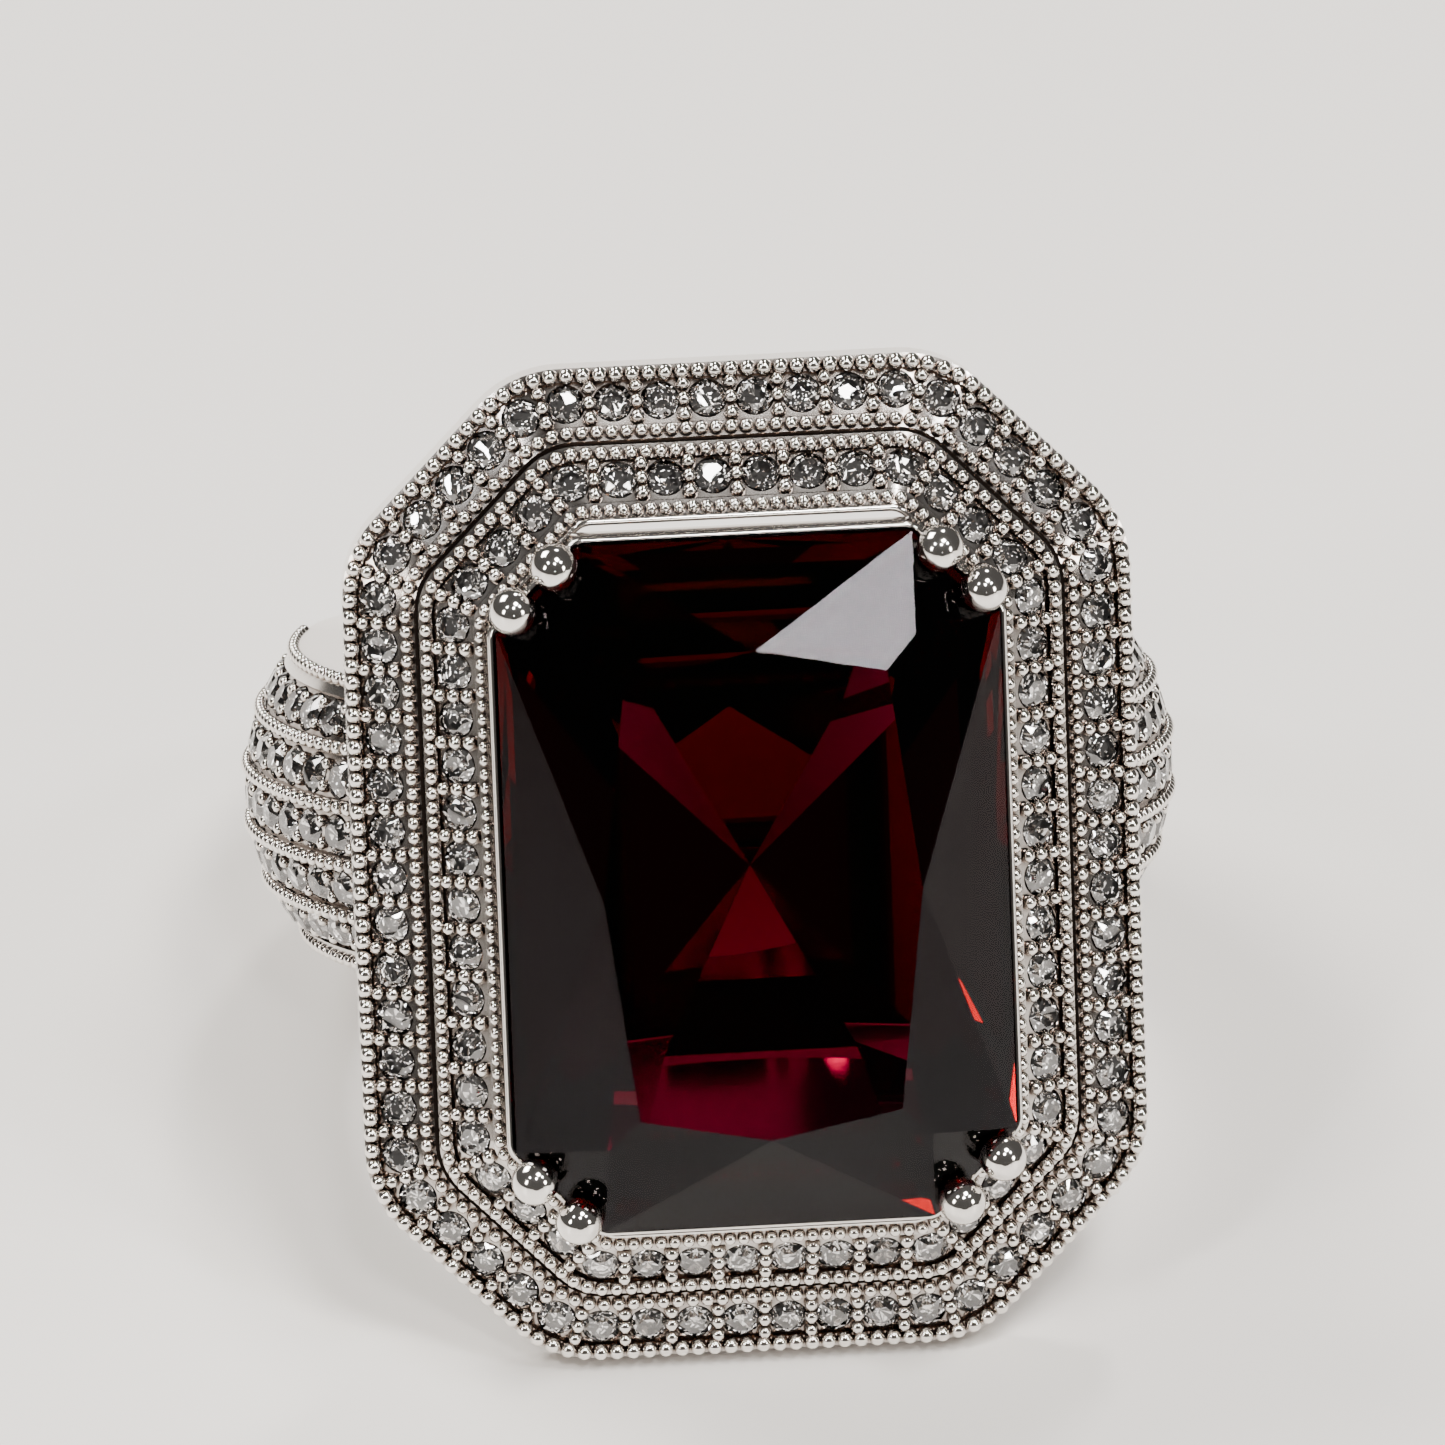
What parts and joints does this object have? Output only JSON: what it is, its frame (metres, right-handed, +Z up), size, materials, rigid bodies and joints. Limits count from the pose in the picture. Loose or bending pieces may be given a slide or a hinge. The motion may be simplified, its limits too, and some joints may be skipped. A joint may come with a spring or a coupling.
{
  "type": "cocktail ring",
  "caption": "Cocktail ring with a large cut-corner rectangular stone, an octagonal double halo of small stones and pave-set shoulders.",
  "frame": {"origin": "centre of the ring's box, on the surface it lies on", "axes": "+Z up; -Y towards the side that the stone's face looks to; X across the finger hole. The ring lies tilted back on the halo's lower rim and the back of the band, with the finger hole's axis in the YZ plane."},
  "size_m": [0.025, 0.03, 0.0242],
  "materials": {
    "white_metal": "polished rhodium-plated white metal",
    "red_stone": "polished deep red faceted stone",
    "clear_stone": "polished clear faceted stones"
  },
  "bodies": {
    "root": {"basket_base_rail": "white_metal", "centre_stone": "red_stone", "gallery_posts": "white_metal", "gallery_rail": "white_metal", "inner_halo_frame": "white_metal", "inner_halo_stones": "clear_stone", "left_shoulder": "white_metal", "left_shoulder_stones_row_1": "clear_stone", "left_shoulder_stones_row_2": "clear_stone", "left_shoulder_stones_row_3": "clear_stone", "left_shoulder_stones_row_4": "clear_stone", "left_shoulder_stones_row_5": "clear_stone", "lower_finger_bar": "white_metal", "lower_left_claws": "white_metal", "lower_right_claws": "white_metal", "outer_halo_frame": "white_metal", "outer_halo_stones": "clear_stone", "right_shoulder": "white_metal", "right_shoulder_stones_row_1": "clear_stone", "right_shoulder_stones_row_2": "clear_stone", "right_shoulder_stones_row_3": "clear_stone", "right_shoulder_stones_row_4": "clear_stone", "right_shoulder_stones_row_5": "clear_stone", "seat_rail": "white_metal", "shank": "white_metal", "upper_finger_bar": "white_metal", "upper_left_claws": "white_metal", "upper_right_claws": "white_metal"}
  },
  "joints": []
}
